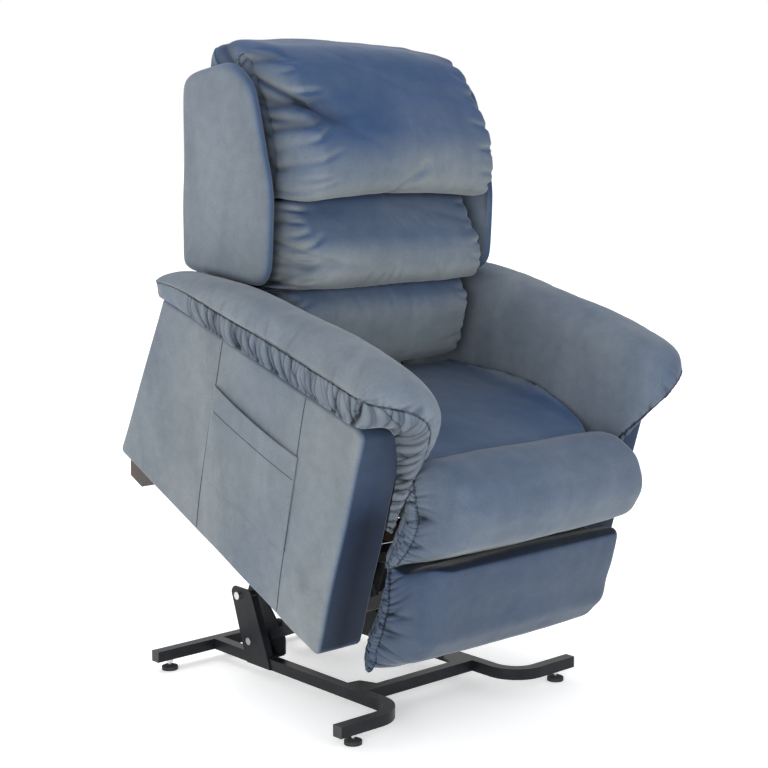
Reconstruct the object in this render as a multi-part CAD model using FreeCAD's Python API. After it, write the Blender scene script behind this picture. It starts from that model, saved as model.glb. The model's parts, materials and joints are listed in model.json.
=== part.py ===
import FreeCAD, Part

import os
from math import atan2, cos, degrees, hypot, radians, sin, tan

# Lift recliner chair, in millimetres, standing with its seat raised and tipped forward.
# +Z is up, the occupant faces -Y and +X is the occupant's left.
# The origin is on the floor, in the middle of the chair's outer box.
# Each group of parts is drawn in its own upright frame and then placed:
#   base frame   y = 0 at the rear cross tube, z = 0 at the floor
#   chair frame  origin at the lower front corner of the side panels, y backwards, z up
#   back frame   origin at the lower rear edge of the wings, z along the backrest

# ---------------------------------------------------------------- driving sizes
REAR_TUBE_Y = 472.0          # rear cross tube, from the middle of the chair's outer box

TUBE = 25.4                  # square steel tube
TUBE_WALL = 2.0
TUBE_TOP = 50.0              # height of the base frame's upper face
REAR_HALF = 344.0            # half length of the rear cross tube
FRONT_FOOT_HALF = 351.0      # half spread of the front feet
RAIL_X = 170.9               # side rail centreline
FRONT_FOOT_Y = -664.25
FRONT_CROSS_Y = -527.4
RAIL_BEND = 70.0             # centreline radius where a rail turns outwards

LIFT_TILT = 24.91            # tip of the raised chair, degrees
CHAIR_Y = -684.25            # chair frame's origin in the base frame
CHAIR_Z = 211.42

PANEL_IN = 305.0             # side panels, inner and outer faces
PANEL_OUT = 423.5
PANEL_LONG = 766.0
PANEL_SKIN = 12.0            # padding and cover over the wooden frame

SEAT_HALF = 282.0
ARM_OUT = 450.0              # outer seam of the arm pads
ARM_IN = 286.0

BACK_LEAN = 23.6             # backrest from the chair frame's vertical, degrees
BACK_Y = 835.0
BACK_Z = 426.0
WING_OUT = 333.0
WING_IN = 290.0

# ---------------------------------------------------------------- pivots
UPPER_BASE = (-116.0, 179.0)         # link pivots on the towers, base frame (y, z)
LOWER_BASE = (-153.0, 77.0)
UPPER_CHAIR = (150.0, 55.7)          # link pivots on the chair, chair frame (y, z)
LOWER_CHAIR = (100.0, 16.9)
RECLINE = (670.0, 160.0)             # backrest hinge, chair frame
FOOT_ARM = (100.0, 190.0)            # footrest linkage, chair frame
FOOT_KNEE = (189.45, 33.8)
FOOT_PAD = (52.0, 150.0)
LIFT_MOTOR = (-45.0, 60.0)           # lift actuator's tail, base frame
LIFT_CRANK = (-349.9, 170.0)         # and its rod end, base frame
BACK_MOTOR = (330.0, 150.0)          # recline actuator, chair frame
BACK_CRANK = (705.0, 99.4)
FOOT_MOTOR = (420.0, 147.5)          # footrest actuator, chair frame; its rod runs level
FOOT_YOKE = (135.6, 147.5)           # middle of the slot that its rod pushes the crank with
FOOT_CRANK = (135.6, 154.9)

PIN = 6.0                    # radius of the linkage pins
RUN = 0.05                   # radial running clearance
LINK = 24.0                  # width of a link bar
LINK_X = (148.0, 154.0)      # lift links
BRACKET_X = (156.0, 161.0)   # chair brackets they carry
TOWER_IN = (141.0, 145.0)    # tower cheeks
TOWER_OUT = (183.6, 187.6)
OPEN_PIN_GAP = 4.6           # extra hole radius where the closed lift linkage is opened
PLATE_X = (296.0, 300.0)     # mechanism plates on the side panels
ARM_BAR_X = (286.0, 290.0)   # footrest arms
LINK_BAR_X = (279.0, 283.0)  # footrest links
PAD_BAR_X = (272.0, 276.0)   # footrest pad brackets
BACK_BAR_X = (284.0, 289.0)  # hinge arms of the backrest
EYE = 5.0                    # pin radius of the actuators
SHAFT = 12.7                 # radius of the round cross tubes
SHAFT_WALL = 2.5
FOOT_MOTOR_X = -60.0


# ---------------------------------------------------------------- drawing helpers
def vec(x, y, z):
    return FreeCAD.Vector(x, y, z)


def box(x, y, z):
    """A block between the given (low, high) pairs."""
    return Part.makeBox(x[1] - x[0], y[1] - y[0], z[1] - z[0], vec(x[0], y[0], z[0]))


def outline(points, place):
    """A closed wire through (u, v) or (u, v, radius) corners; place maps (u, v) to space."""
    corners = []
    count = len(points)
    for i, point in enumerate(points):
        u, v = point[0], point[1]
        radius = point[2] if len(point) > 2 else 0.0
        before, after = points[i - 1], points[(i + 1) % count]
        a = FreeCAD.Vector(before[0] - u, before[1] - v, 0)
        b = FreeCAD.Vector(after[0] - u, after[1] - v, 0)
        a.normalize()
        b.normalize()
        corner = FreeCAD.Vector(u, v, 0)
        if radius == 0.0:
            corners.append((corner, None, corner))
            continue
        half = a.getAngle(b) / 2
        reach = radius / tan(half)
        middle = a + b
        middle.normalize()
        top = corner + middle * (radius / sin(half) - radius)
        corners.append((corner + a * reach, top, corner + b * reach))
    edges = []
    for i, (start, top, end) in enumerate(corners):
        following = corners[(i + 1) % count][0]
        if top is not None:
            edges.append(Part.Arc(place(start), place(top), place(end)).toShape())
        if (following - end).Length > 1e-6:
            edges.append(Part.LineSegment(place(end), place(following)).toShape())
    return Part.Wire(edges)


def side_prism(points, x):
    """A side-view outline in (y, z), drawn out between two x values."""
    wire = outline(points, lambda p: vec(x[0], p.x, p.y))
    return Part.Face(wire).extrude(vec(x[1] - x[0], 0, 0))


def plan_prism(points, z):
    """A plan-view outline in (x, y), drawn out between two heights."""
    wire = outline(points, lambda p: vec(p.x, p.y, z[0]))
    return Part.Face(wire).extrude(vec(0, 0, z[1] - z[0]))


def front_prism(points, y):
    """A front-view outline in (x, z), drawn out between two y values."""
    wire = outline(points, lambda p: vec(p.x, y[0], p.y))
    return Part.Face(wire).extrude(vec(0, y[1] - y[0], 0))


def cross_rod(centre, radius, x):
    """A round bar along X through a (y, z) centre."""
    return Part.makeCylinder(radius, x[1] - x[0], vec(x[0], centre[0], centre[1]), vec(1, 0, 0))


def cross_pipe(centre, radius, wall, x):
    return cross_rod(centre, radius, x).cut(cross_rod(centre, radius - wall, x))


def cross_tube(y, z, x):
    """A square tube along X whose section starts at (y, z)."""
    outer = box(x, (y, y + TUBE), (z, z + TUBE))
    bore = box(x, (y + TUBE_WALL, y + TUBE - TUBE_WALL), (z + TUBE_WALL, z + TUBE - TUBE_WALL))
    return outer.cut(bore)


def flipped(shape):
    """The same piece on the other side of the chair."""
    return shape.mirror(vec(0, 0, 0), vec(1, 0, 0))


def pair(shape):
    return Part.makeCompound([shape, flipped(shape)])


def link_bar(a, b, x, hole_a, hole_b):
    """A flat bar with round ends between two (y, z) pivots, with a hole at each."""
    angle = atan2(b[1] - a[1], b[0] - a[0])
    length = hypot(b[0] - a[0], b[1] - a[1])
    half = LINK / 2
    ends = [(-half, -half, half - 0.01), (length + half, -half, half - 0.01),
            (length + half, half, half - 0.01), (-half, half, half - 0.01)]
    bar = side_prism(ends, x)
    bar.rotate(vec(0, 0, 0), vec(1, 0, 0), degrees(angle))
    bar.translate(vec(0, a[0], a[1]))
    for centre, radius in ((a, hole_a), (b, hole_b)):
        if radius > 0:
            bar = bar.cut(cross_rod(centre, radius, (x[0] - 1, x[1] + 1)))
    return bar


# ---------------------------------------------------------------- placing and saving
def on_base(shape):
    shape = shape.copy()
    shape.translate(vec(0, REAR_TUBE_Y, 0))
    return shape


def on_chair(shape):
    shape = shape.copy()
    shape.rotate(vec(0, 0, 0), vec(1, 0, 0), LIFT_TILT)
    shape.translate(vec(0, CHAIR_Y, CHAIR_Z))
    return on_base(shape)


def on_back(shape):
    shape = shape.copy()
    shape.rotate(vec(0, 0, 0), vec(1, 0, 0), -BACK_LEAN)
    shape.translate(vec(0, BACK_Y, BACK_Z))
    return on_chair(shape)


def chair_to_base(point):
    """A chair-frame (y, z) point in the base frame."""
    tilt = radians(LIFT_TILT)
    return (CHAIR_Y + point[0] * cos(tilt) - point[1] * sin(tilt),
            CHAIR_Z + point[0] * sin(tilt) + point[1] * cos(tilt))


def chair_to_back(point):
    """A chair-frame (y, z) point in the back frame."""
    lean = radians(BACK_LEAN)
    y, z = point[0] - BACK_Y, point[1] - BACK_Z
    return (y * cos(lean) - z * sin(lean), y * sin(lean) + z * cos(lean))


def save(name, shape):
    os.makedirs("parts", exist_ok=True)
    shape.exportStep("parts/" + name + ".step")


# ---------------------------------------------------------------- base frame
def rail_plan(half, end):
    """Plan outline of a side rail of the given half width; end trims the hollow inside."""
    rear = -TUBE / 2 - end
    tip = FRONT_FOOT_HALF + end
    return [(RAIL_X - half, rear), (RAIL_X - half, FRONT_FOOT_Y - half, RAIL_BEND + half),
            (tip, FRONT_FOOT_Y - half), (tip, FRONT_FOOT_Y + half),
            (RAIL_X + half, FRONT_FOOT_Y + half, RAIL_BEND - half), (RAIL_X + half, rear)]


def side_rail():
    low = TUBE_TOP - TUBE
    outer = plan_prism(rail_plan(TUBE / 2, 0), (low, TUBE_TOP))
    bore = plan_prism(rail_plan(TUBE / 2 - TUBE_WALL, 0), (low + TUBE_WALL, TUBE_TOP - TUBE_WALL))
    return outer.cut(bore)


def tower():
    """Channel on the side rail that carries both link pivots."""
    cheek = side_prism([(-231, 25), (-144, 25), (-132, 55), (-86, 186, 12), (-97, 199, 8),
                        (-152, 199, 6), (-162, 190, 6), (-222, 50)], TOWER_OUT)
    lip = side_prism([(-219, 53), (-161, 186), (-158, 186), (-216, 53)], (168.0, TOWER_OUT[0]))
    foot = box((TOWER_IN[0], TOWER_OUT[0]), (-226, -136), (TUBE_TOP, TUBE_TOP + 3))
    cam = side_prism([(-232, 53, 4), (-140, 53), (-94, 175, 14), (-100, 197, 12),
                      (-140, 197, 14), (-232, 95, 18)], TOWER_IN)
    body = cheek.fuse([lip, foot, cam])
    for centre in (UPPER_BASE, LOWER_BASE):
        body = body.cut(cross_rod(centre, PIN, (TOWER_IN[0] - 1, TOWER_OUT[1] + 1)))
    return body.removeSplitter()


def tower_pins():
    """Shouldered pins through a tower: a nut above, a rivet head below."""
    upper = cross_rod(UPPER_BASE, PIN, (TOWER_IN[0] - 4, TOWER_OUT[1]))
    upper = upper.fuse(cross_rod(UPPER_BASE, 9.0, (TOWER_OUT[1], TOWER_OUT[1] + 7)))
    lower = cross_rod(LOWER_BASE, PIN, (TOWER_IN[0] - 4, TOWER_OUT[1]))
    lower = lower.fuse(cross_rod(LOWER_BASE, 8.5, (TOWER_OUT[1], TOWER_OUT[1] + 3)))
    return Part.makeCompound([upper, lower, flipped(upper), flipped(lower)])


def tube_caps():
    """Plastic plugs in the four open tube ends."""
    low = TUBE_TOP - TUBE
    inner = (TUBE_WALL, TUBE - TUBE_WALL)

    def plug(end, y):
        face = box((end, end + 2), (y, y + TUBE), (low, low + TUBE))
        stem = box((end - 12, end), (y + inner[0], y + inner[1]), (low + inner[0], low + inner[1]))
        return face.fuse(stem)

    rear = plug(REAR_HALF, -TUBE / 2)
    front = plug(FRONT_FOOT_HALF, FRONT_FOOT_Y - TUBE / 2)
    return Part.makeCompound([rear, front, flipped(rear), flipped(front)])


FOOT_SPOTS = [(307.0, -3.0), (307.0, -661.0)]


def levelling_pads():
    """Round rubber glides that stand on the floor."""
    pads = []
    for x, y in FOOT_SPOTS:
        disc = Part.makeCylinder(19, 8, vec(x, y, 0)).fuse(Part.makeCone(19, 10, 4, vec(x, y, 8)))
        disc = disc.cut(Part.makeCylinder(4, 8, vec(x, y, 4)))
        pads += [disc, flipped(disc)]
    return Part.makeCompound(pads)


def levelling_studs():
    """Threaded studs with a lock nut, from the glides up into the tubes."""
    studs = []
    for x, y in FOOT_SPOTS:
        stud = Part.makeCylinder(4, TUBE_TOP - TUBE - 4, vec(x, y, 4))
        nut = Part.makeCylinder(8, 6, vec(x, y, TUBE_TOP - TUBE - 6))
        both = stud.fuse(nut)
        studs += [both, flipped(both)]
    return Part.makeCompound(studs)


def corner_gussets():
    """Flat tabs in the corners behind the front cross tube."""
    rear = FRONT_CROSS_Y + TUBE / 2
    inner = RAIL_X - TUBE / 2
    plate = plan_prism([(inner, rear), (inner, rear + 44), (inner - 30, rear + 40, 12),
                        (inner - 46, rear)], (TUBE_TOP - 5, TUBE_TOP))
    return pair(plate)


def motor_bracket():
    """Two ears on the rear cross tube with the lift actuator's tail pin."""
    y, z = LIFT_MOTOR
    ear = side_prism([(-TUBE / 2, 26), (-TUBE / 2, 50), (y + 8, z + 13, 6), (y - 13, z + 13, 10),
                      (y - 13, z - 13, 10), (y + 14, 26)], (9, 13))
    pin = cross_rod(LIFT_MOTOR, EYE, (-16, 16))
    return pin.fuse([ear, flipped(ear)])


def make_base():
    low = TUBE_TOP - TUBE
    rear_tube = cross_tube(-TUBE / 2, low, (-REAR_HALF, REAR_HALF))
    inner = RAIL_X - TUBE / 2
    front_tube = cross_tube(FRONT_CROSS_Y - TUBE / 2, low, (-inner, inner))
    save("rear_cross_tube", on_base(rear_tube))
    save("front_cross_tube", on_base(front_tube))
    save("left_side_rail", on_base(side_rail()))
    save("right_side_rail", on_base(flipped(side_rail())))
    save("left_tower", on_base(tower()))
    save("right_tower", on_base(flipped(tower())))
    save("tower_pivot_pins", on_base(tower_pins()))
    save("tube_end_caps", on_base(tube_caps()))
    save("levelling_foot_pads", on_base(levelling_pads()))
    save("levelling_foot_studs", on_base(levelling_studs()))
    save("corner_gussets", on_base(corner_gussets()))
    save("lift_actuator_bracket", on_base(motor_bracket()))


# ---------------------------------------------------------------- lift linkage
def along(a, b, distance):
    """The (y, z) point at a distance from a towards b."""
    length = hypot(b[0] - a[0], b[1] - a[1])
    return (a[0] + (b[0] - a[0]) * distance / length, a[1] + (b[1] - a[1]) * distance / length)


def driven_tube(shaft, tip, crank_x, half_length):
    """A round tube with a crank plate welded on it and a driving pin at the crank's tip."""
    tube = cross_rod(shaft, SHAFT, (-half_length, half_length))
    plate = link_bar(shaft, tip, (crank_x - 4, crank_x + 4), 0, 0)
    pin = cross_rod(tip, EYE, (crank_x - 12, crank_x + 12))
    bore = cross_rod(shaft, SHAFT - SHAFT_WALL, (-half_length, half_length))
    return tube.fuse([plate, pin]).cut(bore)


def make_links():
    upper_end = chair_to_base(UPPER_CHAIR)
    lower_end = chair_to_base(LOWER_CHAIR)
    upper = link_bar(UPPER_BASE, upper_end, LINK_X, PIN + RUN, PIN + RUN)
    lower = link_bar(LOWER_BASE, lower_end, LINK_X, PIN + RUN, 0)
    lower = lower.fuse(cross_rod(lower_end, PIN, (LINK_X[0], BRACKET_X[1] + 3)))
    save("left_upper_link", on_base(upper))
    save("right_upper_link", on_base(flipped(upper)))
    save("left_lower_link", on_base(lower))
    save("right_lower_link", on_base(flipped(lower)))

    inside = (-LINK_X[0], LINK_X[0])
    upper_bar = along(UPPER_BASE, upper_end, 220)
    lower_bar = along(LOWER_BASE, lower_end, 340)
    save("upper_link_cross_tube", on_base(driven_tube(upper_bar, LIFT_CRANK, 0, inside[1])))
    save("lower_link_cross_tube", on_base(cross_pipe(lower_bar, SHAFT, SHAFT_WALL, inside)))


# ---------------------------------------------------------------- actuators
def actuator(tail, tip, x, motor_side, slot, retracts):
    """Housing and rod of a linear actuator from its tail pin to the opening in its rod end.

    slot is the half length and half height of that opening, which the driven pin runs in.
    retracts is how far the rod can go back into the housing from here.
    """
    length = hypot(tip[0] - tail[0], tip[1] - tail[1])
    angle = degrees(atan2(tip[1] - tail[1], tip[0] - tail[0]))
    barrel_end = length - 110

    tail_lug = cross_rod((0, 0), 11, (-8, 8)).fuse(box((-8, 8), (0, 26), (-11, 11)))
    gear_case = box((-20, 20), (24, 74), (-20, 20))
    side = (20, 64) if motor_side > 0 else (-64, -20)
    gear_case = gear_case.fuse(box(side, (26, 72), (-20, 20)))
    motor = Part.makeCylinder(20, 96, vec(42 * motor_side, 72, 0), vec(0, 1, 0))
    barrel = Part.makeCylinder(15, barrel_end - 74, vec(0, 74, 0), vec(0, 1, 0))
    housing = tail_lug.fuse([gear_case, motor, barrel])
    housing = housing.cut(cross_rod((0, 0), EYE + RUN, (-9, 9)))
    bore_length = barrel_end - 90
    housing = housing.cut(Part.makeCylinder(9.1, bore_length, vec(0, 90.5, 0), vec(0, 1, 0)))

    reach, height = slot
    root = length - reach - 34
    rod_start = 92 + retracts
    rod = Part.makeCylinder(9, root - rod_start, vec(0, rod_start, 0), vec(0, 1, 0))
    yoke = box((-10, 10), (root, root + 12), (-12, 12))
    cheek_end = length + reach + 8
    cheek = box((5.2, 10), (root + 12, cheek_end), (-height - 7, height + 7))
    corner = min(reach, height) - 0.01
    window = side_prism([(length - reach, -height, corner), (length + reach, -height, corner),
                         (length + reach, height, corner), (length - reach, height, corner)], (4, 11))
    cheek = cheek.cut(window)
    rod = rod.fuse([yoke, cheek, flipped(cheek)])

    placed = []
    for piece in (housing, rod):
        piece.rotate(vec(0, 0, 0), vec(1, 0, 0), angle)
        piece.translate(vec(x, tail[0], tail[1]))
        placed.append(piece)
    return placed


def make_actuators():
    housing, rod = actuator(LIFT_MOTOR, LIFT_CRANK, 0, 1, (7.2, 7.0), 46)
    save("lift_actuator_housing", on_base(housing))
    save("lift_actuator_rod", on_base(rod))
    housing, rod = actuator(BACK_MOTOR, BACK_CRANK, 0, 1, (8.8, 9.0), 51)
    save("recline_actuator_housing", on_chair(housing))
    save("recline_actuator_rod", on_chair(rod))
    housing, rod = actuator(FOOT_MOTOR, FOOT_YOKE, FOOT_MOTOR_X, -1, (7.4, 13.2), 0)
    save("footrest_actuator_housing", on_chair(housing))
    save("footrest_actuator_rod", on_chair(rod))


# ---------------------------------------------------------------- chair body
FRAME_Z = 100.0              # underside of the steel seat frame
FRAME_X = 230.0              # inner face of its side tubes


def seat_frame_tubes():
    """Steel frame under the seat: two side tubes and three cross tubes."""
    tubes = []
    side = box((FRAME_X, FRAME_X + TUBE), (48, 712), (FRAME_Z, FRAME_Z + TUBE))
    side = side.cut(box((FRAME_X + TUBE_WALL, FRAME_X + TUBE - TUBE_WALL), (48, 712),
                        (FRAME_Z + TUBE_WALL, FRAME_Z + TUBE - TUBE_WALL)))
    tubes += [side, flipped(side)]
    return Part.makeCompound(tubes)


def seat_cross_tubes():
    """Cross tubes of the seat frame; the rear one hangs low on a plate at each end."""
    inside = (-FRAME_X, FRAME_X)
    front = cross_tube(48, FRAME_Z, inside)
    middle = cross_tube(137, FRAME_Z - 12, inside)
    rear_z = FRAME_Z - 60
    hanger = box((FRAME_X - 5, FRAME_X), (688, 711), (rear_z + TUBE, FRAME_Z + 24))
    rear = cross_tube(686.6, rear_z, inside).fuse([hanger, flipped(hanger)])
    return Part.makeCompound([front, middle, rear])


def lift_brackets():
    """Plates under the seat frame with the upper links' pins; the lower links' holes are oversize."""
    plate = side_prism([(84, 3, 13), (116, 3, 13), (164, 44, 14), (163, 88), (138, 88),
                        (84, 30, 13)], BRACKET_X)
    plate = plate.cut(cross_rod(LOWER_CHAIR, PIN + OPEN_PIN_GAP, (BRACKET_X[0] - 1, BRACKET_X[1] + 1)))
    pin = cross_rod(UPPER_CHAIR, PIN, (LINK_X[0] - 4, BRACKET_X[1]))
    head = cross_rod(UPPER_CHAIR, 10, (BRACKET_X[1], BRACKET_X[1] + 5))
    return pair(plate.fuse([pin, head]))


def panel_outline(inset):
    """Side-view outline of a side panel, drawn in by an inset."""
    lean = tan(radians(7.96))
    front_low = inset + inset * lean
    return [(front_low, inset, 14), (PANEL_LONG - inset, inset, 14),
            (753 - inset, 404 - inset, 10), (522, 435 - inset, 200), (91, 488 - inset, 20),
            (66 + inset, 480 - inset, 12)]


def side_panel():
    """Hollow upholstered side, open nowhere, round a wooden frame."""
    outer = side_prism(panel_outline(0), (PANEL_IN, PANEL_OUT))
    cavity = side_prism(panel_outline(PANEL_SKIN), (PANEL_IN + PANEL_SKIN, PANEL_OUT - PANEL_SKIN))
    return outer.cut(cavity)


def arm_frame():
    """Wooden boards inside one side panel: bottom, top, front and rear."""
    x = (PANEL_IN + 26, PANEL_OUT - 26)
    bottom = box(x, (34, 730), (14, 50))
    front = side_prism([(34, 52), (60, 52), (108, 430), (82, 430)], x)
    rear = side_prism([(704, 52), (730, 52), (722, 370), (696, 370)], x)
    top = side_prism([(114, 440), (690, 376), (690, 398), (114, 465)], x)
    return [bottom, front, rear, top]


def arm_section(y, low, high, inner, outer):
    """Rounded cross-section of the arm pad at one station along it."""
    height = high - low
    crown = min(0.62 * height, (outer - inner) / 2 - 4)
    base = min(0.22 * height, 20)
    points = [(inner, low, base), (outer, low, base), (outer, high, crown), (inner, high, crown)]
    return outline(points, lambda p: vec(p.x, y, p.y))


def arm_pad():
    """Plump pad over the top of an arm, deeper and rounder towards the front."""
    stations = [(757, 414, 448, 292, 440), (600, 434, 503, 288, ARM_OUT), (440, 453, 555, ARM_IN, ARM_OUT),
                (250, 474, 592, ARM_IN, ARM_OUT), (100, 492, 612, ARM_IN, ARM_OUT),
                (20, 492, 612, ARM_IN, 446), (-22, 498, 596, 290, 436), (-42, 512, 566, 304, 420)]
    return Part.makeLoft([arm_section(*station) for station in stations], True, True)


def arm_bolster():
    """Padded inner side of an arm, whose gathered front runs down beside the seat roll."""
    inner = side_prism([(66, 250, 12), (560, 205, 12), (560, 432, 12), (440, 450),
                        (75, 489, 12)], (ARM_IN, PANEL_IN - 0.5))
    front = front_prism([(299, 262, 10), (330, 262, 14), (376, 440, 40), (372, 489, 12),
                         (299, 489, 10)], (-46, -2))
    front.rotate(vec(0, 0, 0), vec(1, 0, 0), -7.96)
    return Part.makeCompound([inner, front])


def side_pocket():
    """Flat pouch on the outer face of the occupant's right side panel."""
    top = [(209, 344), (502, 333)]
    bottom = [(463, 132), (168, 142)]
    gap = (PANEL_OUT + 0.1, PANEL_OUT + 5.4)
    sheet = side_prism(top + bottom, (gap[1], gap[1] + 2.6))
    whole = side_prism(top + bottom, gap)
    hollow = side_prism([(217, 350), (494, 345), (457, 140), (177, 149)], (gap[0] - 1, gap[1]))
    pouch = sheet.fuse(whole.cut(hollow))
    return flipped(pouch)


def rear_legs():
    leg = side_prism([(656, -0.5), (735, -0.5), (719, -38, 3), (670, -38, 3)], (360, 412))
    return pair(leg)


def wood_rails():
    """Wooden rails of the seat box."""
    front = box((-270, 270), (62, 82), (214, 250))
    rear = box((-270, 270), (548, 566), (180, 216))
    side = side_prism([(84, 216), (546, 182), (546, 214), (84, 248)], (252, 270))
    tail = box((-298, 298), (735, 753), (15, 80))
    return Part.makeCompound([front, rear, side, flipped(side), tail])


def seat_springs():
    """Zigzag springs from the front rail to the rear rail."""
    springs = []
    wire = 2.0
    for x in (-180, -90, 0, 90, 180):
        start, end = vec(0, 84, 238), vec(0, 546, 206)
        run = end - start
        steps = 20
        points = []
        for i in range(steps + 1):
            point = start + run * (i / steps)
            swing = 0 if i in (0, steps) else (22 if i % 2 else -22)
            points.append(vec(x + swing, point.y, point.z))
        pieces = []
        for a, b in zip(points, points[1:]):
            pieces.append(Part.makeCylinder(wire, (b - a).Length, a, b - a))
        for point in points[1:-1]:
            pieces.append(Part.makeSphere(wire, point))
        springs.append(pieces[0].fuse(pieces[1:]))
    return Part.makeCompound(springs)


def seat_cushion():
    """Seat cushion that rises towards the front."""
    return side_prism([(48, 262, 14), (545, 222, 14), (545, 303, 24), (385, 344, 300),
                       (198, 388, 300), (48, 412, 18)], (-SEAT_HALF, SEAT_HALF))


def seat_roll():
    """Plump roll over the front edge of the seat."""
    return side_prism([(44, 200, 10), (6, 196, 16), (-62, 254, 80), (-116, 312, 60), (-124, 388, 60),
                       (-72, 436, 50), (0, 440, 80), (44, 420, 10)], (-296, 296))


def mechanism_plates():
    """Steel plates inside the side panels with the pins of the backrest and the footrest."""
    plate = side_prism([(70, 160, 12), (130, 125, 20), (640, 125, 20), (694, 140, 18), (694, 184, 18),
                        (640, 178, 20), (130, 214, 12), (70, 214, 12)], PLATE_X)
    back_pin = cross_rod(RECLINE, PIN, (BACK_BAR_X[0] - 2, PLATE_X[1] + 2))
    foot_pin = cross_rod(FOOT_ARM, PIN, (ARM_BAR_X[0] - 2, PLATE_X[1] + 2))
    return pair(plate.fuse([back_pin, foot_pin]))


def plate_spacers():
    """Bushes that carry the mechanism plates on the seat frame and hold them off the panels."""
    spacers = []
    for y in (260, 480):
        spacers.append(cross_rod((y, 150), 9, (PLATE_X[1], PANEL_IN)))
        arm = box((FRAME_X + TUBE, PLATE_X[0]), (y - 12, y + 12), (FRAME_Z + 21, FRAME_Z + 25))
        lug = box((PLATE_X[0] - 4, PLATE_X[0]), (y - 12, y + 12), (FRAME_Z + 25, 170))
        spacers.append(arm.fuse(lug))
    return Part.makeCompound(spacers + [flipped(piece) for piece in spacers])


def actuator_rails():
    """Flat rails across the seat frame with the ears and tail pins of two actuators."""
    y, z = BACK_MOTOR
    low = FRAME_Z + 6
    recline_rail = [box((-FRAME_X, FRAME_X), (y - 14, y + 14), (low, low + 5)),
                    cross_rod(BACK_MOTOR, EYE, (-16, 16))]
    for start in (-13, 9):
        recline_rail.append(box((start, start + 4), (y - 13, y + 13), (low + 5, z + 13)))

    y, z = FOOT_MOTOR
    high = z + 26
    half = FRAME_X + 20
    footrest_rail = [box((-half, half), (y - 13, y + 13), (high, high + 5)),
                     cross_rod(FOOT_MOTOR, EYE, (FOOT_MOTOR_X - 16, FOOT_MOTOR_X + 16))]
    for start in (-half, half - 5):
        footrest_rail.append(box((start, start + 5), (y - 13, y + 13), (FRAME_Z + TUBE, high)))
    for start in (FOOT_MOTOR_X - 13, FOOT_MOTOR_X + 9):
        footrest_rail.append(box((start, start + 4), (y - 13, y + 13), (z - 13, high)))
    return Part.makeCompound([recline_rail[0].fuse(recline_rail[1:]),
                              footrest_rail[0].fuse(footrest_rail[1:])])


def control_box():
    """Power box with its row of cable sockets."""
    case = plan_prism([(166, 180, 6), (229.9, 180, 6), (229.9, 280, 6), (166, 280, 6)], (92, 128))
    sockets = [box((172 + 19 * i, 184 + 19 * i), (176, 183), (102, 116)) for i in range(3)]
    return case.fuse(sockets)


def make_chair():
    save("seat_frame_side_tubes", on_chair(seat_frame_tubes()))
    save("seat_frame_cross_tubes", on_chair(seat_cross_tubes()))
    save("lift_brackets", on_chair(lift_brackets()))
    save("mechanism_plates", on_chair(mechanism_plates()))
    save("mechanism_spacers", on_chair(plate_spacers()))
    save("actuator_rails", on_chair(actuator_rails()))
    save("control_box", on_chair(control_box()))
    save("seat_wood_rails", on_chair(wood_rails()))
    save("seat_springs", on_chair(seat_springs()))
    save("seat_cushion", on_chair(seat_cushion()))
    save("seat_front_roll", on_chair(seat_roll()))
    save("rear_legs", on_chair(rear_legs()))
    boards = arm_frame()
    save("arm_frame_boards", on_chair(Part.makeCompound(boards + [flipped(b) for b in boards])))
    save("right_side_pocket", on_chair(side_pocket()))
    for side, turn in (("left", lambda s: s), ("right", flipped)):
        save(side + "_side_panel", on_chair(turn(side_panel())))
        save(side + "_arm_pad", on_chair(turn(arm_pad())))
        save(side + "_arm_bolster", on_chair(turn(arm_bolster())))


# ---------------------------------------------------------------- backrest
FRAME_FRONT = -62.0          # front of the backrest's wooden frame, behind the pillows


def back_pillow(points, half_width):
    """A pillow drawn from (depth forwards, height) corners."""
    corners = [(-point[0],) + tuple(point[1:]) for point in points]
    return side_prism(corners, (-half_width, half_width))


def head_pillow():
    return back_pillow([(4, 434), (4, 498, 45), (90, 508, 120), (240, 484, 120), (384, 270, 120),
                        (372, 176, 40), (320, 168), (64, 168), (64, 434)], 286)


def middle_pillow():
    return back_pillow([(64, 162), (288, 162, 20), (364, 60, 60), (362, -20, 40), (290, -24),
                        (64, -24)], 284)


def lumbar_pillow():
    return back_pillow([(64, -30), (300, -30, 20), (332, -70, 40), (300, -190, 60),
                        (262, -212, 20), (64, -214)], 278)


def wing():
    """Upholstered side of the backrest with a round front corner."""
    return side_prism([(0, -4, 12), (0, 420, 30), (-170, 450, 60), (-262, 400, 60),
                       (-330, 180, 160), (-322, -12, 44), (-280, -20, 20)], (WING_IN, WING_OUT))


def back_frame():
    """Wooden stiles and rails of the backrest."""
    stile = box((246, 274), (FRAME_FRONT, -22), (-210, 420))
    rails = []
    for z in (-210, 80, 380):
        rails.append(box((-246, 246), (FRAME_FRONT + 6, -24), (z, z + 40)))
    return Part.makeCompound([stile, flipped(stile)] + rails)


def rear_cover():
    return side_prism([(0, -222, 6), (0, 428, 10), (-16, 428, 6), (-16, -222, 6)],
                      (-WING_IN + 0.5, WING_IN - 0.5))


def back_hinge_arm():
    """Steel arm from the recline pivot up the side of the backrest frame."""
    y, z = chair_to_back(RECLINE)
    arm = side_prism([(y - 16, z - 16, 15), (y + 16, z - 16, 15), (y + 16, z + 30, 20), (-26, -190, 20),
                      (-26, -40, 10), (-54, -40, 10), (-54, -190, 20), (y - 16, z + 30, 20)],
                     BACK_BAR_X)
    arm = arm.cut(cross_rod((y, z), PIN + RUN, (BACK_BAR_X[0] - 1, BACK_BAR_X[1] + 1)))
    return pair(arm)


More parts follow.
